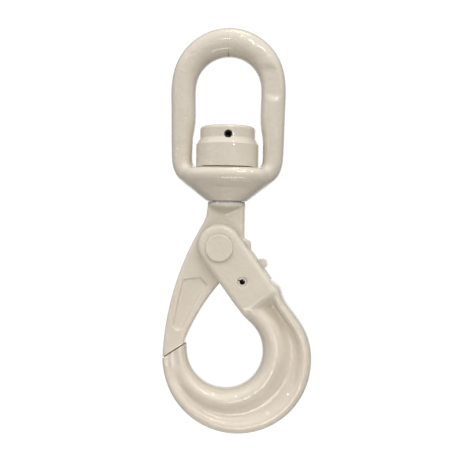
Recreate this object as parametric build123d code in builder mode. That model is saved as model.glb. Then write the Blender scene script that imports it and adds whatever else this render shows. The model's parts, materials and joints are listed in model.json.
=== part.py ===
from build123d import *
import math
import os

# Swivel self-locking hook, in millimetres with +Z up.
# The origin is the bearing point inside the crown of the bow, on the swivel axis.
# The flat faces of the hook look along -Y and +Y, and the hook's back is on +X.

# bow
crown_inner_radius = 18.7
crown_outer_half_width = 32.9
crown_outer_rise = 34.0
crown_outer_centre_z = -17.4
leg_half_depth = 7.8
boss_top_z = -63.4
boss_bottom_z = -82.5
neck_radius = 11.6
race_recess_radius = 14.0
race_recess_floor_z = -65.6

# shank, nut and thrust bearing
shank_radius = 8.6
shank_bore_radius = 8.7
thread_radius = 8.0
shank_top_z = -40.8
shoulder_z = -52.4
nut_top_z = -40.0
nut_upper_radius = 15.85
nut_lower_radius = 17.95
nut_skirt_bottom_z = -63.0
nut_cavity_radius = 15.0
nut_pin_z = -45.4
nut_pin_radius = 2.3
nut_pin_bore_radius = 1.45
nut_pin_turn = 6.0
ball_radius = 2.0
ball_circle_radius = 11.5
ball_centre_z = -58.1
ball_count = 14
groove_radius = 2.05
race_outer_radius = 13.9
upper_race_bottom_z = -57.0
lower_race_top_z = -59.2

# gate body
collar_radius = 10.9
collar_top_z = -83.5
washer_thickness = 0.7
plate_half = 6.2
arm_outer_centre = (123.21, -176.54)
arm_outer_radius = 158.37
arm_inner_centre = (87.13, -205.25)
arm_inner_radius = 117.76
pocket_depth = 1.5

# load pin and ears
load_pin_at = (-2.5, -108.9)
load_pin_radius = 6.5
load_pin_head_radius = 7.7
load_pin_head_height = 1.8
ear_centre = (-2.3, -107.6)
ear_radius = 12.4
cheek_half = 13.5
slot_half = 6.6
slot_floor = 31.0
cheek_end = 38.0
cheek_foot = 44.5
inner_offset = -11.7
outer_offset = 12.75
strap_angle = -53.5

# hook bowl and back
bowl_centre = (0.28, -167.83)
bowl_radius = 21.75
back_centre = (7.22, -172.81)
back_radius = 42.86
parting_inner = (-21.9, -164.0)
parting_outer = (-35.3, -173.0)
parting_gap = 0.36
tongue_half = 2.0
tongue_height = 1.0
tongue_clearance = 0.35

# trigger
trigger_at = (10.62, -127.64)
trigger_pin_radius = 2.5
trigger_pin_bore_radius = 1.35
trigger_half = 5.9
hub_radius = 4.6
lever_clear_radius = 18.3
nose_radius = 16.7
spring_coil_radius = 3.25
spring_wire_radius = 0.42
spring_slot_half = 3.3


def polar(centre, radius, degrees):
    angle = math.radians(degrees)
    return (centre[0] + radius * math.cos(angle), centre[1] + radius * math.sin(angle))


def circle_x(centre, radius, z, side):
    return centre[0] + side * math.sqrt(radius**2 - (z - centre[1]) ** 2)


def ray_to_circle(start, degrees, centre, radius):
    """Distance from start, along a direction, to the far side of a circle."""
    dx = math.cos(math.radians(degrees))
    dz = math.sin(math.radians(degrees))
    along = (centre[0] - start[0]) * dx + (centre[1] - start[1]) * dz
    across = (centre[0] - start[0]) * dz - (centre[1] - start[1]) * dx
    return along + math.sqrt(radius**2 - across**2)


def section_plane(at, outward):
    """Upright plane at a point of the XZ plane, its x axis outward and its y axis along Y."""
    outward_dir = Vector(outward[0], 0, outward[1])
    return Plane(origin=(at[0], 0, at[1]), x_dir=outward_dir, z_dir=outward_dir.cross(Vector(0, 1, 0)))


strap_dir = (math.cos(math.radians(strap_angle)), math.sin(math.radians(strap_angle)))
strap_side = (-strap_dir[1], strap_dir[0])


def on_strap(offset, along):
    """Point at a sideways offset and a distance down the strap from the load pin."""
    return (
        load_pin_at[0] + offset * strap_side[0] + along * strap_dir[0],
        load_pin_at[1] + offset * strap_side[1] + along * strap_dir[1],
    )


# ------------------------------------------------------------- swivel bow
# each station of the bow's bar: its inner point, its outer point, its half depth
leg_stations = [
    ((14.5, -66.5), (26.0, -71.5), 9.0),
    ((18.4, -64.2), (30.2, -66.9), 8.2),
    ((20.1, -60.5), (32.0, -61.2), leg_half_depth),
    ((20.0, -54.0), (32.4, -54.0), leg_half_depth),
    ((20.0, -46.9), (32.45, -46.9), leg_half_depth),
    ((19.4, -43.0), (32.5, -43.0), leg_half_depth),
    ((18.7, -38.5), (32.6, -38.5), leg_half_depth),
    ((18.6, -28.5), (32.8, -28.5), leg_half_depth),
]
bow_stations = list(leg_stations)
for step in range(9):
    turn = math.radians(step * 22.5)
    inner = (crown_inner_radius * math.cos(turn), crown_inner_radius * (math.sin(turn) - 1))
    outer_z = crown_outer_centre_z + crown_outer_rise * math.sin(turn)
    bow_stations.append((inner, (crown_outer_half_width * math.cos(turn), outer_z), leg_half_depth))
for inner, outer, half_depth in reversed(leg_stations):
    bow_stations.append(((-inner[0], inner[1]), (-outer[0], outer[1]), half_depth))


def oval(half_width, half_depth, power=0.92):
    """Points round an oval, from its inner end; the lower the power, the squarer it is."""
    points = []
    for step in range(16):
        across = -math.cos(math.radians(step * 22.5))
        deep = math.sin(math.radians(step * 22.5))
        points.append((
            half_width * math.copysign(abs(across) ** power, across),
            half_depth * math.copysign(abs(deep) ** power, deep),
        ))
    return points


def midpoint(first, second):
    return ((first[0] + second[0]) / 2, (first[1] + second[1]) / 2)


boss_stations = [(-74.6, 22.1, 15.6), (-71.8, 25.2, 18.6), (-68.0, 26.0, 20.8), (boss_top_z, 25.0, 21.6)]
boss_power = 0.80

with BuildPart() as swivel_bow:
    for z, half_x, half_y in boss_stations:
        with BuildSketch(Plane.XY.offset(z)):
            with BuildLine():
                Spline(*oval(half_x, half_y, boss_power), periodic=True)
            make_face()
    loft()
    fillet(swivel_bow.edges().group_by(Axis.Z)[-1], radius=4.4)
    for z, half_x, half_y, power in (
        (boss_bottom_z, neck_radius, neck_radius, 1.0),
        (*boss_stations[0], boss_power),
    ):
        with BuildSketch(Plane.XY.offset(z)):
            with BuildLine():
                Spline(*oval(half_x, half_y, power), periodic=True)
            make_face()
    loft()
    for near, far, half_depth in bow_stations:
        width = math.dist(near, far)
        outward = ((far[0] - near[0]) / width, (far[1] - near[1]) / width)
        with BuildSketch(section_plane(midpoint(near, far), outward)):
            with BuildLine():
                Spline(*oval(width / 2, half_depth), periodic=True)
            make_face()
    loft()
    # pressed flats on the front and the back of the right leg
    with BuildSketch(Plane.YZ.offset(14)):
        with BuildLine():
            Polyline((-10, 0.5), (-6.5, -8), (-6.5, -23), (-10, -30.5), close=True)
        make_face()
        mirror(about=Plane.XZ)
    extrude(amount=22, mode=Mode.SUBTRACT)
    with BuildSketch(Plane.XY.offset(boss_bottom_z - 1)):
        Circle(shank_bore_radius)
    extrude(amount=30, mode=Mode.SUBTRACT)
    with BuildSketch(Plane.XY.offset(race_recess_floor_z)):
        Circle(race_recess_radius)
    extrude(amount=12, mode=Mode.SUBTRACT)

# ------------------------------------------------------------- gate body
parting_dir = (
    (parting_inner[0] - parting_outer[0]) / math.dist(parting_inner, parting_outer),
    (parting_inner[1] - parting_outer[1]) / math.dist(parting_inner, parting_outer),
)
heel_z = -163.0
heel_x = circle_x(arm_inner_centre, arm_inner_radius, heel_z, -1)
parting_rise = parting_gap / 2 / parting_dir[0]
parting_slope = parting_dir[1] / parting_dir[0]


def parting_z(x, rise):
    return parting_outer[1] + (x - parting_outer[0]) * parting_slope + rise


arm_top_z = -105.0
arm_top = (circle_x(arm_outer_centre, arm_outer_radius, arm_top_z, -1), arm_top_z)
arm_middle_z = -140.0
arm_middle = (circle_x(arm_outer_centre, arm_outer_radius, arm_middle_z, -1), arm_middle_z)
arm_foot_x = circle_x(arm_outer_centre, arm_outer_radius, -172.6, -1)
arm_foot = (arm_foot_x, parting_z(arm_foot_x, parting_rise))
heel_foot = (heel_x + 0.1, parting_z(heel_x + 0.1, parting_rise))
inner_top_z = -120.5
inner_top = (circle_x(arm_inner_centre, arm_inner_radius, inner_top_z, -1), inner_top_z)
inner_middle = (circle_x(arm_inner_centre, arm_inner_radius, -143.0, -1), -143.0)
web_radius = math.dist(inner_top, load_pin_at)
tab_angle = -12.5
tab_root = polar(load_pin_at, web_radius, tab_angle)
web_middle = polar(load_pin_at, web_radius, -34)
tab_tip = polar(load_pin_at, 17.6, tab_angle)

with BuildPart() as gate_body:
    with BuildSketch(Plane.XZ):
        with BuildLine():
            Line((10.7, -86.0), (10.7, -101.6))
            Spline((10.7, -101.6), (11.1, -103.4), (13.0, -104.5), tangents=((0, -1), (1, -0.3)))
            Spline((13.0, -104.5), (14.2, -105.5), (14.6, -107.4), tangents=((1, -0.3), (0, -1)))
            Line((14.6, -107.4), tab_tip)
            Line(tab_tip, tab_root)
            ThreePointArc(tab_root, web_middle, inner_top)
            ThreePointArc(inner_top, inner_middle, (heel_x, heel_z))
            Line((heel_x, heel_z), heel_foot)
            Line(heel_foot, arm_foot)
            ThreePointArc(arm_foot, arm_middle, arm_top)
            Spline(arm_top, (-14.1, -97.4), (-11.1, -90.6), (-10.8, -86.0), tangents=((0.4515, 0.8923), (0, 1)))
            Line((-10.8, -86.0), (10.7, -86.0))
        make_face()
    extrude(amount=plate_half, both=True)
    long_edges = gate_body.edges().filter_by(lambda e: abs(abs(e.center().Y) - plate_half) < 0.01)
    long_edges = long_edges.filter_by(lambda e: e.length > 15.3 and e.center().Z < -90)
    fillet(long_edges, radius=2.2)
    # tongue on the arm's end, which sits in a groove in the hook's tip
    with BuildSketch(Plane.XZ):
        with BuildLine():
            Polyline(
                (arm_foot[0] + 0.5, parting_z(arm_foot[0] + 0.5, parting_rise + 2)),
                (heel_foot[0] - 0.5, parting_z(heel_foot[0] - 0.5, parting_rise + 2)),
                (heel_foot[0] - 0.5, parting_z(heel_foot[0] - 0.5, parting_rise - tongue_height)),
                (arm_foot[0] + 0.5, parting_z(arm_foot[0] + 0.5, parting_rise - tongue_height)),
                close=True,
            )
        make_face()
    extrude(amount=tongue_half, both=True)
    # shallow forged pockets, one on each face of the arm
    for face_y in (-plate_half, plate_half):
        with BuildSketch(Plane(origin=(0, face_y, 0), x_dir=(1, 0, 0), z_dir=(0, -1, 0))):
            with BuildLine():
                Polyline((-28.9, -151.4), (-26.9, -141.0), (-23.8, -127.2), (-13.6, -125.9), (-9.3, -130.4))
                ThreePointArc((-9.3, -130.4), (-16.6, -141.6), (-22.4, -153.6))
                ThreePointArc((-22.4, -153.6), (-26.3, -156.4), (-28.9, -151.4))
            make_face()
        inward = pocket_depth if face_y > 0 else -pocket_depth
        extrude(amount=inward, taper=28, mode=Mode.SUBTRACT)
    # round collar under the boss, running out on the flat plate, and the shank
    with BuildSketch(Plane.XZ):
        with BuildLine():
            Polyline((0, -93.0), (5.2, -92.4), (6.2, -90.6))
            RadiusArc((6.2, -90.6), (collar_radius, -86.0), 9.0)
            Polyline(
                (collar_radius, -86.0),
                (collar_radius, collar_top_z),
                (shank_radius, collar_top_z),
                (shank_radius, shoulder_z),
                (thread_radius, shoulder_z),
                (thread_radius, shank_top_z - 1.2),
                (thread_radius - 1.2, shank_top_z),
                (0, shank_top_z),
                (0, -93.0),
            )
        make_face()
    revolve(axis=Axis.Z)
    with BuildSketch(Plane(origin=(load_pin_at[0], 0, load_pin_at[1]), z_dir=(0, -1, 0))):
        Circle(load_pin_radius + 0.1)
    extrude(amount=20, both=True, mode=Mode.SUBTRACT)
    pin_way = (math.sin(math.radians(nut_pin_turn)), -math.cos(math.radians(nut_pin_turn)), 0)
    with BuildSketch(Plane(origin=(0, 0, nut_pin_z), z_dir=pin_way)):
        Circle(nut_pin_radius + 0.03)
    extrude(amount=20, both=True, mode=Mode.SUBTRACT)

# ------------------------------------------------------------- neck washer
with BuildPart() as neck_washer:
    with BuildSketch(Plane.XY.offset(collar_top_z)):
        Circle(10.6)
        Circle(shank_radius + 0.1, mode=Mode.SUBTRACT)
    extrude(amount=washer_thickness)

# ------------------------------------------------------------- shank nut
with BuildPart() as shank_nut:
    with BuildSketch(Plane.XZ):
        with BuildLine():
            Polyline(
                (thread_radius + 0.9, nut_top_z),
                (nut_upper_radius, nut_top_z),
                (nut_upper_radius, -46.9),
                (nut_lower_radius, -50.4),
                (nut_lower_radius, nut_skirt_bottom_z),
                (nut_cavity_radius, nut_skirt_bottom_z),
                (nut_cavity_radius, shoulder_z),
                (thread_radius + 0.04, shoulder_z),
                (thread_radius + 0.04, nut_top_z - 0.9),
                (thread_radius + 0.9, nut_top_z),
            )
        face_points = make_face()
        corners = face_points.vertices()
        fillet(corners.filter_by(lambda v: abs(v.X - nut_upper_radius) < 0.01 and v.Z > -41), radius=1.9)
        fillet(corners.filter_by(lambda v: abs(v.X - nut_upper_radius) < 0.01 and v.Z < -41), radius=1.5)
        fillet(corners.filter_by(lambda v: abs(v.X - nut_lower_radius) < 0.01 and v.Z > -55), radius=1.5)
        fillet(corners.filter_by(lambda v: abs(v.X - nut_lower_radius) < 0.01 and v.Z < -55), radius=0.5)
    revolve(axis=Axis.Z)
    with BuildSketch(Plane(origin=(0, 0, nut_pin_z), z_dir=pin_way)):
        Circle(nut_pin_radius + 0.03)
    extrude(amount=20, both=True, mode=Mode.SUBTRACT)

# ------------------------------------------------------------- spring pins
with BuildPart() as nut_spring_pin:
    with BuildSketch(Plane(origin=(0, 0, nut_pin_z), x_dir=(0, 0, 1), z_dir=pin_way)):
        Circle(nut_pin_radius)
        Circle(nut_pin_bore_radius, mode=Mode.SUBTRACT)
        with Locations((-nut_pin_radius, 0)):
            Rectangle(2, 0.5, mode=Mode.SUBTRACT)
    extrude(amount=15.2, both=True)
    mouths = nut_spring_pin.edges().filter_by(GeomType.CIRCLE)
    chamfer(mouths.filter_by(lambda e: e.radius < nut_pin_bore_radius + 0.01), length=0.35)

slit_dir = polar((0, 0), 1, 155)
slit_plane = Plane(origin=(trigger_at[0], 0, trigger_at[1]), x_dir=(slit_dir[0], 0, slit_dir[1]), z_dir=(0, -1, 0))
with BuildPart() as trigger_spring_pin:
    with BuildSketch(slit_plane):
        Circle(trigger_pin_radius)
        Circle(trigger_pin_bore_radius, mode=Mode.SUBTRACT)
        with Locations((trigger_pin_radius, 0)):
            Rectangle(2.4, 0.55, mode=Mode.SUBTRACT)
    extrude(amount=cheek_half - 0.3, both=True)
    mouths = trigger_spring_pin.edges().filter_by(GeomType.CIRCLE)
    chamfer(mouths.filter_by(lambda e: e.radius < trigger_pin_bore_radius + 0.01), length=0.35)

# ------------------------------------------------------------- bearing
with BuildPart() as bearing_upper_race:
    with BuildSketch(Plane.XY.offset(upper_race_bottom_z)):
        Circle(race_outer_radius)
        Circle(shank_radius + 0.05, mode=Mode.SUBTRACT)
    extrude(amount=shoulder_z - upper_race_bottom_z)
    with BuildSketch(Plane.XZ):
        with Locations((ball_circle_radius, ball_centre_z)):
            Circle(groove_radius)
    revolve(axis=Axis.Z, mode=Mode.SUBTRACT)

with BuildPart() as bearing_lower_race:
    with BuildSketch(Plane.XY.offset(race_recess_floor_z)):
        Circle(race_outer_radius)
        Circle(shank_radius + 0.4, mode=Mode.SUBTRACT)
    extrude(amount=lower_race_top_z - race_recess_floor_z)
    with BuildSketch(Plane.XZ):
        with Locations((ball_circle_radius, ball_centre_z)):
            Circle(groove_radius)
    revolve(axis=Axis.Z, mode=Mode.SUBTRACT)

with BuildPart() as bearing_cage:
    with BuildSketch(Plane.XY.offset(ball_centre_z - 0.7)):
        Circle(race_outer_radius)
        Circle(shank_radius + 0.4, mode=Mode.SUBTRACT)
    extrude(amount=1.4)
    with Locations((0, 0, ball_centre_z)):
        with PolarLocations(ball_circle_radius, ball_count):
            Sphere(ball_radius + 0.06, mode=Mode.SUBTRACT)

with BuildPart() as bearing_balls:
    with Locations((0, 0, ball_centre_z)):
        with PolarLocations(ball_circle_radius, ball_count):
            Sphere(ball_radius)

with BuildPart() as nut_seal:
    with BuildSketch(Plane.XY.offset(-62.7)):
        Circle(nut_cavity_radius - 0.03)
        Circle(14.25, mode=Mode.SUBTRACT)
    extrude(amount=1.6)

# ------------------------------------------------------------- hook body
def hook_section(width, bulge_width, bulge_half, web_half, rim_half, rim_width):
    """Half outline of the forging's section: inner bulge, channel, outer rim."""
    channel = width - bulge_width - rim_width
    return [
        (0, 0),
        (0.06 * bulge_width, 0.47 * bulge_half),
        (0.21 * bulge_width, 0.80 * bulge_half),
        (0.43 * bulge_width, 1.0 * bulge_half),
        (0.66 * bulge_width, 0.94 * bulge_half),
        (0.86 * bulge_width, 0.55 * bulge_half + 0.35 * web_half),
        (bulge_width + 0.12 * channel, web_half),
        (bulge_width + 0.80 * channel, web_half),
        (width - rim_width + 1.0, 0.90 * rim_half),
        (width - 0.50 * rim_width, rim_half),
        (width - 0.13 * rim_width, 0.68 * rim_half),
        (width, 0),
    ]


hook_stations = []
for along, inner, outer, bulge_half, web_half, rim_half in (
    (31.5, -11.1, 12.0, 12.7, 11.5, 12.5),
    (43.0, -11.7, outer_offset, 12.4, 4.4, 11.8),
):
    hook_stations.append(
        (on_strap(inner, along), on_strap(outer, along), 14.0, bulge_half, web_half, rim_half, 6.2)
    )
for degrees, bulge_width, bulge_half, web_half, rim_half, rim_width in (
    (34, 14.6, 12.0, 4.0, 10.6, 6.3),
    (14, 15.0, 11.0, 4.0, 8.7, 6.6),
    (-6, 14.9, 10.3, 4.0, 7.4, 7.0),
    (-28, 14.2, 9.7, 4.0, 6.6, 7.4),
    (-50, 13.6, 9.6, 4.0, 6.6, 7.7),
    (-72, 13.1, 9.4, 4.0, 6.6, 7.8),
    (-94, 12.5, 9.1, 4.0, 6.6, 7.8),
    (-116, 11.6, 8.6, 4.1, 6.6, 7.5),
    (-136, 10.5, 7.8, 4.5, 6.5, 6.6),
    (-154, 9.0, 6.8, 5.6, 6.3, 5.6),
    (-172, 8.2, 6.3, 6.2, 6.2, 5.2),
    (-194, 7.2, 6.2, 6.2, 6.2, 4.6),
):
    tip_flare = 1.1 if degrees == -194 else 0
    near = polar(bowl_centre, bowl_radius + tip_flare, degrees)
    far = polar(bowl_centre, ray_to_circle(bowl_centre, degrees, back_centre, back_radius), degrees)
    hook_stations.append((near, far, bulge_width, bulge_half, web_half, rim_half, rim_width))
strap_plane = Plane(origin=(load_pin_at[0], 0, load_pin_at[1]), x_dir=(strap_dir[0], 0, strap_dir[1]),
                    z_dir=(strap_side[0], 0, strap_side[1]))

with BuildPart() as hook_body:
    with BuildSketch(Plane.XZ):
        with BuildLine():
            ear_left = on_strap(inner_offset, 0)
            ear_right = on_strap(outer_offset, 0)
            ear_top = polar(ear_centre, ear_radius, 126.5)
            ThreePointArc(ear_left, ear_top, ear_right)
            Polyline(ear_right, on_strap(outer_offset, 50), on_strap(inner_offset, 50), ear_left)
        make_face()
    extrude(amount=cheek_half, both=True)
    with BuildSketch(strap_plane):
        with BuildLine():
            Polyline(
                (-20, -cheek_half),
                (cheek_end, -cheek_half),
                (cheek_foot, -3.0),
                (cheek_foot, 3.0),
                (cheek_end, cheek_half),
                (-20, cheek_half),
                close=True,
            )
        make_face()
    extrude(amount=30, both=True, mode=Mode.INTERSECT)
    cheek_faces = hook_body.faces().filter_by(lambda f: abs(abs(f.center().Y) - cheek_half) < 0.01)
    fillet(cheek_faces.edges(), radius=3.0)

    for near, far, bulge_width, bulge_half, web_half, rim_half, rim_width in hook_stations:
        width = math.dist(near, far)
        outward = ((far[0] - near[0]) / width, (far[1] - near[1]) / width)
        upper = hook_section(width, bulge_width, bulge_half, web_half, rim_half, rim_width)
        lower = [(reach, -height) for reach, height in reversed(upper[1:-1])]
        with BuildSketch(section_plane(near, outward)):
            with BuildLine():
                Spline(*upper, *lower, periodic=True)
            make_face()
    loft()
    # cut the tip along the parting line
    with BuildSketch(Plane.XZ):
        with BuildLine():
            Polyline(
                (-45, parting_z(-45, -parting_rise)),
                (-10, parting_z(-10, -parting_rise)),
                (-10, -145),
                (-45, -145),
                close=True,
            )
        make_face()
    extrude(amount=20, both=True, mode=Mode.SUBTRACT)
    # groove for the gate's tongue
    groove_bottom = parting_rise - tongue_height - tongue_clearance - 0.1
    with BuildSketch(Plane.XZ):
        with BuildLine():
            Polyline(
                (-45, parting_z(-45, 1)),
                (-16, parting_z(-16, 1)),
                (-16, parting_z(-16, groove_bottom)),
                (-45, parting_z(-45, groove_bottom)),
                close=True,
            )
        make_face()
    extrude(amount=tongue_half + tongue_clearance, both=True, mode=Mode.SUBTRACT)
    # slot between the ears
    with BuildSketch(strap_plane):
        with Locations((slot_floor - 40, 0)):
            Rectangle(80, 2 * slot_half)
    extrude(amount=30, both=True, mode=Mode.SUBTRACT)
    for centre, radius in ((load_pin_at, load_pin_radius + 0.02), (trigger_at, trigger_pin_radius + 0.02)):
        with BuildSketch(Plane(origin=(centre[0], 0, centre[1]), z_dir=(0, -1, 0))):
            Circle(radius)
        extrude(amount=20, both=True, mode=Mode.SUBTRACT)

# ------------------------------------------------------------- load pin
with BuildPart() as load_pin:
    with BuildSketch(Plane(origin=(load_pin_at[0], cheek_half + 0.6, load_pin_at[1]), z_dir=(0, -1, 0))):
        Circle(load_pin_radius)
    extrude(amount=2 * cheek_half + 0.6)
    chamfer(load_pin.edges().group_by(Axis.Y)[-1], length=0.5)
    with BuildSketch(Plane(origin=(load_pin_at[0], -cheek_half, load_pin_at[1]), z_dir=(0, -1, 0))):
        Circle(load_pin_head_radius)
    extrude(amount=load_pin_head_height)
    fillet(load_pin.edges().group_by(Axis.Y)[0], radius=0.7)

# ------------------------------------------------------------- trigger
def clear_point(degrees):
    return polar(load_pin_at, lever_clear_radius, degrees)


nose_top = polar(load_pin_at, nose_radius, -21)
nose_low = polar(load_pin_at, nose_radius, -27)
hub_angle = math.degrees(math.atan2(trigger_at[1] - load_pin_at[1], trigger_at[0] - load_pin_at[0]))

with BuildPart() as trigger:
    with BuildSketch(Plane.XZ):
        with BuildLine():
            hub_touch = polar(trigger_at, hub_radius, hub_angle + 180)
            hub_bottom = polar(trigger_at, hub_radius, -80)
            hub_right = polar(trigger_at, hub_radius, 5)
            ThreePointArc(hub_touch, hub_bottom, hub_right)
            Line(hub_right, (19.6, -121.6))
            Spline((19.6, -121.6), (22.3, -120.3), (24.2, -118.4), (23.2, -115.7), (20.4, -115.0),
                   (17.3, -116.2))
            Line((17.3, -116.2), nose_top)
            Line(nose_top, nose_low)
            Line(nose_low, clear_point(-29))
            ThreePointArc(clear_point(-29), clear_point(-42), hub_touch)
        make_face()
    extrude(amount=trigger_half, both=True)
    with BuildSketch(Plane.XZ):
        with Locations(trigger_at):
            Circle(trigger_pin_radius + 0.08)
    extrude(amount=10, both=True, mode=Mode.SUBTRACT)
    # groove that takes the coil of the spring and its upper leg
    with BuildSketch(Plane.XZ):
        with Locations(trigger_at):
            Circle(hub_radius + 0.5)
        with BuildLine():
            Polyline(
                polar(trigger_at, 4.9, -30),
                polar(trigger_at, 10.6, 56),
                polar(trigger_at, 10.4, 66),
                polar(trigger_at, 3.2, 60),
                close=True,
            )
        make_face()
    extrude(amount=spring_slot_half, both=True, mode=Mode.SUBTRACT)

# ------------------------------------------------------------- trigger spring
coil_turns = 3.865
coil_pitch = 1.12
coil_start = strap_angle + 90
coil_length = coil_turns * coil_pitch
coil_plane = Plane(
    origin=(trigger_at[0], coil_length / 2, trigger_at[1]),
    x_dir=(math.cos(math.radians(coil_start)), 0, math.sin(math.radians(coil_start))),
    z_dir=(0, -1, 0),
)

# the spring is wound about its own axis, then set on the trigger's pin
with BuildPart() as wound_spring:
    with BuildLine():
        coil = Helix(pitch=coil_pitch, height=coil_length, radius=spring_coil_radius)
    with BuildSketch(Plane(origin=coil @ 0, z_dir=coil % 0)):
        Circle(spring_wire_radius)
    sweep(path=coil, is_frenet=True)
    with BuildSketch(Plane(origin=coil @ 0, z_dir=-(coil % 0))):
        Circle(spring_wire_radius)
    extrude(amount=7.2)
    with BuildSketch(Plane(origin=coil @ 1, z_dir=coil % 1)):
        Circle(spring_wire_radius)
    extrude(amount=7.2)

with BuildPart() as trigger_spring:
    with Locations(coil_plane.location):
        add(wound_spring.part)

pieces = {
    "swivel_bow": swivel_bow,
    "shank_nut": shank_nut,
    "nut_spring_pin": nut_spring_pin,
    "bearing_upper_race": bearing_upper_race,
    "bearing_lower_race": bearing_lower_race,
    "bearing_cage": bearing_cage,
    "bearing_balls": bearing_balls,
    "nut_seal": nut_seal,
    "neck_washer": neck_washer,
    "gate_body": gate_body,
    "hook_body": hook_body,
    "load_pin": load_pin,
    "trigger": trigger,
    "trigger_spring_pin": trigger_spring_pin,
    "trigger_spring": trigger_spring,
}

os.makedirs("parts", exist_ok=True)
for name, piece in pieces.items():
    piece.part.label = name
    export_step(piece.part, f"parts/{name}.step")
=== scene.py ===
import json
import math

import bpy
from mathutils import Matrix, Vector


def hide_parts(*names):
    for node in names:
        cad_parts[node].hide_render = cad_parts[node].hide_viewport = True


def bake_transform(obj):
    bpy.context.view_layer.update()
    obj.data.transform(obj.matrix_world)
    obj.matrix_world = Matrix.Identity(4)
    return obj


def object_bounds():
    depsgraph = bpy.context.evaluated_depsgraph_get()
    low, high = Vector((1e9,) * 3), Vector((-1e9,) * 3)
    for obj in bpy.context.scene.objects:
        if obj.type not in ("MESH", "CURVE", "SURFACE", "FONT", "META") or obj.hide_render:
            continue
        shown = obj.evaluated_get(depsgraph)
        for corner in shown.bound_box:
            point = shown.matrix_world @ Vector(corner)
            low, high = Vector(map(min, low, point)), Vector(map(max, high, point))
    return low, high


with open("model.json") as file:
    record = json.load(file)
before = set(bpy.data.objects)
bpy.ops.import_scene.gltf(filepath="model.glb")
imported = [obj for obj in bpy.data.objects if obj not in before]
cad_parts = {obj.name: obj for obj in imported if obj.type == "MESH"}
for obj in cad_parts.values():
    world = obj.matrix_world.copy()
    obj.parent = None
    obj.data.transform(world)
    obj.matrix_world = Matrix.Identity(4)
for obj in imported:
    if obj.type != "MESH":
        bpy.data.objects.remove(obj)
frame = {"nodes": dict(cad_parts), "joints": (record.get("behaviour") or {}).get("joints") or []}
cad_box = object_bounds()

MM = 0.001

# places that several sections share
hinge_at = {joint["name"]: tuple(joint["pos_m"]) for joint in frame["joints"]}
load_pin_at = hinge_at["hook_open"]
trigger_pin_at = hinge_at["trigger_press"]
nut_pin_at = (0.0, 0.0, -45.4 * MM)
bow_eye_at = (0.0, 0.0, 0.0)
upward = (0.0, 0.0, 1.0)


def tinted(tone, factor):
    """A tone made darker or lighter, and never past white."""
    return tuple(min(1.0, factor * value) for value in tone)


# ---------------------------------------------------------------- node trees
class Graph:
    """Short names for the nodes of one tree: a material's, the world's or a modifier's."""

    def __init__(self, tree):
        self.tree = tree

    def link(self, source, target):
        self.tree.links.new(source, target)

    def feed(self, value, socket):
        """Links another node's output to a socket, or sets the socket to a plain value."""
        if isinstance(value, bpy.types.NodeSocket):
            self.link(value, socket)
        elif socket.type == "RGBA":
            socket.default_value = (*value, 1.0)
        else:
            socket.default_value = value

    def math(self, operation, first, second=0.0):
        node = self.tree.nodes.new("ShaderNodeMath")
        node.operation = operation
        self.feed(first, node.inputs[0])
        self.feed(second, node.inputs[1])
        return node.outputs["Value"]

    def vector(self, operation, first, second=(0.0, 0.0, 0.0), output="Vector"):
        node = self.tree.nodes.new("ShaderNodeVectorMath")
        node.operation = operation
        self.feed(first, node.inputs[0])
        self.feed(second, node.inputs[1])
        return node.outputs[output]

    def range(self, source, low, high, to_low=0.0, to_high=1.0, interpolation="LINEAR"):
        node = self.tree.nodes.new("ShaderNodeMapRange")
        node.interpolation_type = interpolation
        node.inputs["From Min"].default_value = low
        node.inputs["From Max"].default_value = high
        node.inputs["To Min"].default_value = to_low
        node.inputs["To Max"].default_value = to_high
        self.link(source, node.inputs["Value"])
        return node.outputs["Result"]

    def mix(self, factor, first, second):
        node = self.tree.nodes.new("ShaderNodeMix")
        node.data_type = "RGBA"
        self.link(factor, node.inputs["Factor"])
        self.feed(first, node.inputs["A"])
        self.feed(second, node.inputs["B"])
        return node.outputs["Result"]

    def split(self, source):
        node = self.tree.nodes.new("ShaderNodeSeparateXYZ")
        self.link(source, node.inputs["Vector"])
        return node.outputs


class Nodes(Graph):
    """The nodes of one new material."""

    def __init__(self, name):
        self.material = bpy.data.materials.new(name)
        self.material.use_nodes = True
        super().__init__(self.material.node_tree)
        self.shader = self.tree.nodes["Principled BSDF"]
        self.coords = self.tree.nodes.new("ShaderNodeTexCoord").outputs["Object"]

    def noise(self, scale, detail=2.0, roughness=0.5):
        node = self.tree.nodes.new("ShaderNodeTexNoise")
        node.inputs["Scale"].default_value = scale
        node.inputs["Detail"].default_value = detail
        node.inputs["Roughness"].default_value = roughness
        self.link(self.coords, node.inputs["Vector"])
        return node.outputs["Fac"]

    def ramp(self, source, stops):
        node = self.tree.nodes.new("ShaderNodeValToRGB")
        ramp = node.color_ramp
        while len(ramp.elements) < len(stops):
            ramp.elements.new(0.5)
        for element, (place, colour) in zip(ramp.elements, stops):
            element.position = place
            element.color = (*colour, 1.0)
        self.link(source, node.inputs["Fac"])
        return node.outputs["Color"]

    def bump(self, height, distance, strength, under=None):
        node = self.tree.nodes.new("ShaderNodeBump")
        node.inputs["Strength"].default_value = strength
        node.inputs["Distance"].default_value = distance
        self.link(height, node.inputs["Height"])
        if under is not None:
            self.link(under, node.inputs["Normal"])
        return node.outputs["Normal"]

    def coat(self, colour, roughness, normal):
        """Joins the three looks that every material here has to its shader."""
        self.link(colour, self.shader.inputs["Base Color"])
        self.link(roughness, self.shader.inputs["Roughness"])
        self.link(normal, self.shader.inputs["Normal"])


# ---------------------------------------------------------------- materials
cream = (0.66, 0.604, 0.513)
dust_speck = (0.30, 0.26, 0.21)
seam_shadow = (0.10, 0.08, 0.06)
# painted shade: the near black colour, mottled by noise, inside the pins' bores
painted_bore_shade = ((0.008, 0.007, 0.006), (0.045, 0.038, 0.032))
# painted shade: the nut pin's end is coloured near black, so it reads as a dark hole
pin_end_shade = (0.055, 0.042, 0.032)
rubber_tones = ((0.016, 0.016, 0.017), (0.034, 0.033, 0.032))


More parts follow.
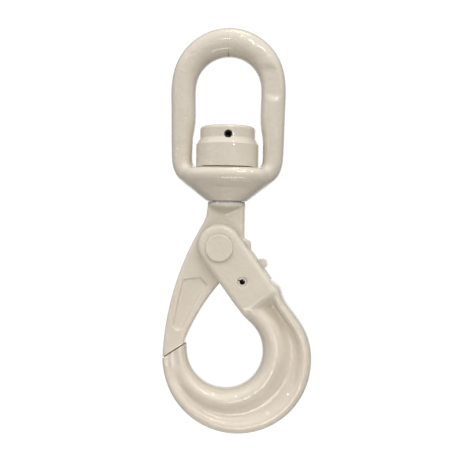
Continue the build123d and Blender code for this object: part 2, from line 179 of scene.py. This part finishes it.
def make_paint(name, tone, seamed=False):
    """Thick gloss powder paint over a forged surface: ripples, orange peel and dust, with painted highlights
    on sharp edges and painted shade in hollows.
    """
    nodes = Nodes(name)
    cloud = nodes.noise(28.0, 3.0, 0.55)
    colour = nodes.ramp(cloud, [(0.30, tinted(tone, 0.955)), (0.52, tone), (0.74, tinted(tone, 1.03))])
    pointiness = nodes.tree.nodes.new("ShaderNodeNewGeometry").outputs["Pointiness"]
    # painted highlight: sharp convex edges, found by pointiness, are coloured lighter
    painted_edge_highlight = nodes.range(pointiness, 0.535, 0.62, 0.0, 0.35)
    # painted shade: hollows, found by pointiness, are coloured darker
    painted_hollow_shade = nodes.range(pointiness, 0.47, 0.40, 0.0, 0.45)
    colour = nodes.mix(painted_edge_highlight, colour, tinted(tone, 1.09))
    colour = nodes.mix(painted_hollow_shade, colour, tinted(tone, 0.78))
    specks = nodes.range(nodes.noise(900.0, 1.0, 0.4), 0.76, 0.80, 0.0, 0.35)
    colour = nodes.mix(specks, colour, dust_speck)
    waves = nodes.bump(nodes.noise(120.0), 1.2 * MM, 0.35)
    ripples = nodes.bump(nodes.noise(380.0), 0.4 * MM, 0.6, waves)
    peel = nodes.bump(nodes.noise(1000.0), 0.2 * MM, 0.6, ripples)
    if seamed:
        seam = die_line(nodes)
        colour = nodes.mix(seam, colour, seam_shadow)
        peel = nodes.bump(nodes.range(seam, 0.0, 1.0, 1.0, 0.0), 0.4 * MM, 0.8, peel)
    nodes.coat(colour, nodes.range(nodes.noise(60.0, 4.0, 0.6), 0.35, 0.7, 0.16, 0.27), peel)
    nodes.shader.inputs["IOR"].default_value = 1.5
    nodes.shader.inputs["Coat Weight"].default_value = 0.6
    nodes.shader.inputs["Coat Roughness"].default_value = 0.05
    return nodes.material


def die_line(nodes):
    """Fine line over the crown of the bow, strongest where it ends in a small nick underneath."""
    place = nodes.split(nodes.coords)
    wander = nodes.range(nodes.noise(90.0), 0.0, 1.0, -0.7 * MM, 0.7 * MM)
    off_centre = nodes.math("ABSOLUTE", nodes.math("ADD", place["X"], wander))
    line = nodes.range(off_centre, 0.10 * MM, 0.38 * MM, 1.0, 0.0)
    on_crown = nodes.range(place["Z"], -3.0 * MM, -1.0 * MM)
    strength = nodes.range(place["Z"], 0.3 * MM, 2.2 * MM, 0.9, 0.07)
    return nodes.math("MULTIPLY", nodes.math("MULTIPLY", line, on_crown), strength)


def make_pin(name, tone, centre, axis, bore, half_length):
    """A painted end around a bore coloured near black as painted shade; the bore is told apart by its
    distance from the pin's axis.
    """
    nodes = Nodes(name)
    offset = nodes.vector("SUBTRACT", nodes.coords, centre)
    distance = nodes.vector("LENGTH", nodes.vector("CROSS_PRODUCT", offset, axis), output="Value")
    reach = nodes.math("ABSOLUTE", nodes.vector("DOT_PRODUCT", offset, axis, "Value"))
    ring = nodes.range(distance, bore + 0.10 * MM, bore + 0.28 * MM)
    end = nodes.range(reach, half_length - 0.75 * MM, half_length - 0.45 * MM)
    painted = nodes.math("MULTIPLY", ring, end)
    # painted shade: the bore is coloured near black, mottled by noise
    shaded_bore = nodes.ramp(nodes.noise(900.0, 3.0, 0.6), [(0.35, painted_bore_shade[0]), (0.75, painted_bore_shade[1])])
    paint_film = nodes.ramp(nodes.noise(500.0), [(0.3, tinted(tone, 0.9)), (0.7, tone)])
    grain = nodes.bump(nodes.noise(1200.0, 2.0, 0.6), 0.04 * MM, 0.6)
    nodes.coat(nodes.mix(painted, shaded_bore, paint_film), nodes.range(painted, 0.0, 1.0, 0.75, 0.30), grain)
    return nodes.material


def make_steel(name, tone, roughness, scale):
    """Turned or ground steel: fine scratches, oil stains, a little colour variation."""
    nodes = Nodes(name)
    cloud = nodes.noise(scale, 4.0, 0.6)
    colour = nodes.ramp(cloud, [(0.30, tinted(tone, 0.70)), (0.55, tone), (0.80, tinted(tone, 1.12))])
    scratches = nodes.bump(nodes.noise(1500.0, 2.0, 0.6), 0.03 * MM, 0.6)
    nodes.coat(colour, nodes.range(cloud, 0.3, 0.7, 0.75 * roughness, 1.35 * roughness), scratches)
    nodes.shader.inputs["Metallic"].default_value = 1.0
    return nodes.material


def make_rubber(name):
    """Matt black rubber with a fine moulded grain."""
    nodes = Nodes(name)
    colour = nodes.ramp(nodes.noise(220.0, 3.0, 0.6), [(0.3, rubber_tones[0]), (0.7, rubber_tones[1])])
    grain = nodes.bump(nodes.noise(1800.0, 2.0, 0.6), 0.03 * MM, 0.7)
    nodes.coat(colour, nodes.range(nodes.noise(400.0), 0.3, 0.7, 0.55, 0.8), grain)
    return nodes.material


paint = make_paint("cream_paint", cream)
bow_paint = make_paint("seamed_cream_paint", cream, seamed=True)
bright_steel = make_steel("bearing_steel", (0.60, 0.60, 0.61), 0.18, 160.0)
zinc_steel = make_steel("zinc_steel", (0.55, 0.55, 0.54), 0.34, 120.0)
black_spring = make_steel("spring_steel", (0.05, 0.05, 0.055), 0.40, 200.0)
seal_rubber = make_rubber("seal_rubber")

nut_pin_turn = math.radians(6.0)
nut_pin_axis = (math.sin(nut_pin_turn), -math.cos(nut_pin_turn), 0.0)
# painted shade: the nut pin's end is coloured near black, as dark as its bore
nut_pin_paint = make_pin("nut_pin_paint", pin_end_shade, nut_pin_at, nut_pin_axis, 1.45 * MM, 15.2 * MM)
trigger_pin_axis = (0.0, 1.0, 0.0)
trigger_pin_paint = make_pin(
    "trigger_pin_paint", cream, trigger_pin_at, trigger_pin_axis, 1.35 * MM, 13.2 * MM
)

looks = {
    "swivel_bow": bow_paint,
    "shank_nut": paint,
    "gate_body": paint,
    "hook_body": paint,
    "load_pin": paint,
    "trigger": paint,
    "nut_spring_pin": nut_pin_paint,
    "trigger_spring_pin": trigger_pin_paint,
    "bearing_upper_race": bright_steel,
    "bearing_lower_race": bright_steel,
    "bearing_balls": bright_steel,
    "bearing_cage": zinc_steel,
    "neck_washer": zinc_steel,
    "nut_seal": seal_rubber,
}
for name, material in looks.items():
    node = frame["nodes"][name]
    node.data.materials.clear()
    node.data.materials.append(material)

# ---------------------------------------------------------------- torsion spring
# a copy of the trigger spring's mesh, in black spring steel and shaded smooth, takes the place of the CAD
# part
spring_node = frame["nodes"]["trigger_spring"]
torsion_spring = bpy.data.objects.new("torsion_spring", spring_node.data.copy())
torsion_spring.data.materials.clear()
torsion_spring.data.materials.append(black_spring)
bpy.context.scene.collection.objects.link(torsion_spring)
torsion_spring.matrix_world = spring_node.matrix_world
for face in torsion_spring.data.polygons:
    face.use_smooth = True
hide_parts("trigger_spring")
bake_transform(torsion_spring)


# ---------------------------------------------------------------- forged blends
class Field(Graph):
    """Node maths on the position of each point of a mesh."""

    def __init__(self, group):
        super().__init__(group)
        self.place = group.nodes.new("GeometryNodeInputPosition").outputs["Position"]

    def reach(self, centre, keep):
        """Distance from a point, along the axes that keep has a 1 for."""
        offset = self.vector("SUBTRACT", self.place, centre)
        return self.vector("LENGTH", self.vector("MULTIPLY", offset, keep), output="Value")

    def along(self, origin, way):
        """How far a point lies along a direction from an origin."""
        return self.vector("DOT_PRODUCT", self.vector("SUBTRACT", self.place, origin), way, "Value")

    def step(self, value, low, high, to_low=0.0, to_high=1.0):
        return self.range(value, low, high, to_low, to_high, "SMOOTHSTEP")


def soften(name, voxel, rounds, make_weight):
    """Evens out a node's mesh and relaxes it where make_weight says, as a forging blends its corners."""
    node = frame["nodes"][name]
    even = node.modifiers.new("even_mesh", "REMESH")
    even.mode = "VOXEL"
    even.voxel_size = voxel
    even.use_smooth_shade = True
    group = bpy.data.node_groups.new(f"{name}_blend", "GeometryNodeTree")
    group.interface.new_socket("Geometry", in_out="INPUT", socket_type="NodeSocketGeometry")
    group.interface.new_socket("Geometry", in_out="OUTPUT", socket_type="NodeSocketGeometry")
    entry = group.nodes.new("NodeGroupInput")
    leave = group.nodes.new("NodeGroupOutput")
    field = Field(group)
    blur = group.nodes.new("GeometryNodeBlurAttribute")
    blur.data_type = "FLOAT_VECTOR"
    blur.inputs["Iterations"].default_value = rounds
    vector_in = [socket for socket in blur.inputs if socket.type == "VECTOR"][0]
    vector_out = [socket for socket in blur.outputs if socket.type == "VECTOR"][0]
    field.link(field.place, vector_in)
    field.link(make_weight(field), blur.inputs["Weight"])
    shift = group.nodes.new("GeometryNodeSetPosition")
    field.link(entry.outputs["Geometry"], shift.inputs["Geometry"])
    field.link(vector_out, shift.inputs["Position"])
    field.link(shift.outputs["Geometry"], leave.inputs["Geometry"])
    blend = node.modifiers.new("forged_blend", "NODES")
    blend.node_group = group


def bow_weight(field):
    """The bow relaxes most where its legs meet the boss, little above, and not round its bore."""
    slight = 0.04
    height = field.along(bow_eye_at, upward)
    clear_of_bore = field.step(field.reach(bow_eye_at, (1.0, 1.0, 0.0)), 16.4 * MM, 19.0 * MM)
    leg_roots = field.math("MULTIPLY", clear_of_bore, field.step(height, -46.0 * MM, -62.0 * MM))
    upper = field.math("MAXIMUM", field.step(height, -40.0 * MM, -36.0 * MM), clear_of_bore)
    above_neck = field.step(height, -81.5 * MM, -77.0 * MM)
    body = field.math("MAXIMUM", leg_roots, field.math("MULTIPLY", upper, slight))
    return field.math("MULTIPLY", body, above_neck)


def hook_weight(field):
    """The hook relaxes most where the ears run into the bowl, little elsewhere, and not at its tip."""
    strap_angle = math.radians(-53.5)
    tip_at = (-31.0 * MM, 0.0, -168.0 * MM)
    along = field.along(load_pin_at, (math.cos(strap_angle), 0.0, math.sin(strap_angle)))
    ears = field.step(along, 31.0 * MM, 36.0 * MM, 0.06, 1.0)
    bowl = field.step(along, 45.0 * MM, 53.0 * MM, 1.0, 0.10)
    clear_of_tip = field.step(field.reach(tip_at, (1.0, 0.0, 1.0)), 8.5 * MM, 15.0 * MM)
    return field.math("MULTIPLY", field.math("MULTIPLY", ears, bowl), clear_of_tip)


def gate_weight(field):
    """The gate relaxes where its round neck runs out on the plate, and a little on the arm."""
    slight = 0.10
    height = field.along(bow_eye_at, upward)
    below_collar = field.step(height, -85.2 * MM, -86.6 * MM)
    above_plate = field.step(height, -98.0 * MM, -95.0 * MM)
    arm = field.math("MULTIPLY", field.step(height, -112.0 * MM, -120.0 * MM), slight)
    return field.math("MAXIMUM", field.math("MULTIPLY", below_collar, above_plate), arm)


soften("swivel_bow", 0.42 * MM, 110, bow_weight)
soften("hook_body", 0.32 * MM, 90, hook_weight)
soften("gate_body", 0.32 * MM, 36, gate_weight)

# ---------------------------------------------------------------- stage
low, high = (Vector(corner) for corner in cad_box)
centre = (low + high) / 2

# a small round floor, out of the camera's frame, where the other views see it
floor_radius = 0.40
floor_z = low.z - 0.40
floor_sides = 96
floor_mesh = bpy.data.meshes.new("floor")
floor_mesh.from_pydata(
    [
        (
            centre.x + floor_radius * math.cos(math.tau * step / floor_sides),
            centre.y + floor_radius * math.sin(math.tau * step / floor_sides),
            floor_z,
        )
        for step in range(floor_sides)
    ],
    [],
    [tuple(range(floor_sides))],
)
floor = bpy.data.objects.new("floor", floor_mesh)
bpy.context.scene.collection.objects.link(floor)
floor_nodes = Nodes("pale_floor")
floor_nodes.shader.inputs["Base Color"].default_value = (0.62, 0.62, 0.61, 1.0)
floor_nodes.shader.inputs["Roughness"].default_value = 0.9
floor_mesh.materials.append(floor_nodes.material)

# the camera's line of sight, which the white wall stands across
turn = math.radians(-4.55)
lift = math.radians(-0.715)
away = Vector((math.sin(turn) * math.cos(lift), math.cos(turn) * math.cos(lift), math.sin(lift)))

# a room that is dim below, bright overhead and dim behind, with a white wall behind the object
dim_floor = (0.13, 0.13, 0.13)
grey_middle = (0.58, 0.58, 0.58)
bright_ceiling = (1.45, 1.43, 1.39)
dim_back = (0.22, 0.22, 0.22)
white_wall = (1.02, 1.02, 1.02)
world = bpy.data.worlds.new("studio")
bpy.context.scene.world = world
world.use_nodes = True
sky = Graph(world.node_tree)
direction = sky.tree.nodes.new("ShaderNodeTexCoord").outputs["Generated"]
facing = sky.split(direction)
room = sky.mix(sky.range(facing["Z"], -0.55, 0.05), dim_floor, grey_middle)
room = sky.mix(sky.range(facing["Z"], 0.05, 0.85), room, bright_ceiling)
room = sky.mix(sky.range(facing["Y"], 0.0, 0.60), room, dim_back)
ahead = sky.vector("DOT_PRODUCT", direction, away, "Value")
room = sky.mix(sky.range(ahead, 0.80, 0.915), room, white_wall)
sky.link(room, sky.tree.nodes["Background"].inputs["Color"])
sky.tree.nodes["Background"].inputs["Strength"].default_value = 1.0


def softbox(name, place, size, power, colour, aim=(0.0, 0.0, 0.0), spread=180.0):
    """A rectangular lamp, placed and aimed from the middle of the object."""
    light = bpy.data.lights.new(name, "AREA")
    light.shape = "RECTANGLE"
    light.size, light.size_y = size
    light.energy = power
    light.color = colour
    light.spread = math.radians(spread)
    box = bpy.data.objects.new(name, light)
    box.location = centre + Vector(place)
    box.rotation_euler = (Vector(aim) - Vector(place)).to_track_quat("-Z", "Y").to_euler()
    bpy.context.scene.collection.objects.link(box)
    box.visible_camera = False


# soft lights above in front and overhead, a warm one close under the bowl, and a narrow warm one on the bowl
daylight = (1.0, 0.97, 0.94)
bowl_aim = (0.0, 0.0, -0.085)
softbox("key", (0.32, -0.78, 0.80), (0.30, 0.14), 1.85, daylight)
softbox("overhead", (0.05, -0.05, 0.90), (0.30, 0.30), 0.6, daylight)
softbox("low_fill", (0.04, -0.38, -0.27), (0.22, 0.10), 0.42, (1.0, 0.93, 0.86))
softbox("bowl_fill", (0.20, -0.36, -0.14), (0.16, 0.10), 0.007, (1.0, 0.88, 0.78), bowl_aim, 30.0)

# narrow lamps whose reflections break up on the rippled paint
for place, size in (
    ((-0.62, -0.55, 0.60), (0.03, 0.06)),
    ((-0.45, -0.70, 0.75), (0.02, 0.06)),
    ((0.62, -0.50, 0.75), (0.02, 0.08)),
    ((0.10, -0.60, 0.90), (0.06, 0.02)),
    ((-0.85, -0.45, 0.25), (0.02, 0.03)),
    ((-0.80, -0.60, 0.08), (0.02, 0.02)),
    ((0.62, -0.60, 0.35), (0.02, 0.04)),
    ((-0.10, -0.90, 0.45), (0.05, 0.02)),
    ((0.45, -0.85, 0.15), (0.02, 0.02)),
    ((0.15, -0.20, 0.95), (0.02, 0.05)),
):
    softbox("lamp", place, size, 0.14, (1.0, 0.97, 0.93))

# ---------------------------------------------------------------- camera
roll = math.radians(0.976)
camera_at = (37.10 * MM, -437.8 * MM, -93.45 * MM)
right = Vector((math.cos(turn), -math.sin(turn), 0.0))
up = right.cross(away)
side = right * math.cos(roll) + up * math.sin(roll)
above = -right * math.sin(roll) + up * math.cos(roll)
camera_data = bpy.data.cameras.new("camera")
camera_data.lens = 59.83
camera_data.sensor_width = 36.0
camera_data.clip_start = 0.01
camera = bpy.data.objects.new("camera", camera_data)
camera.matrix_world = Matrix((
    (side.x, above.x, -away.x, camera_at[0]),
    (side.y, above.y, -away.y, camera_at[1]),
    (side.z, above.z, -away.z, camera_at[2]),
    (0.0, 0.0, 0.0, 1.0),
))
bpy.context.scene.collection.objects.link(camera)
bpy.context.scene.camera = camera
bpy.context.scene.view_settings.view_transform = "Standard"
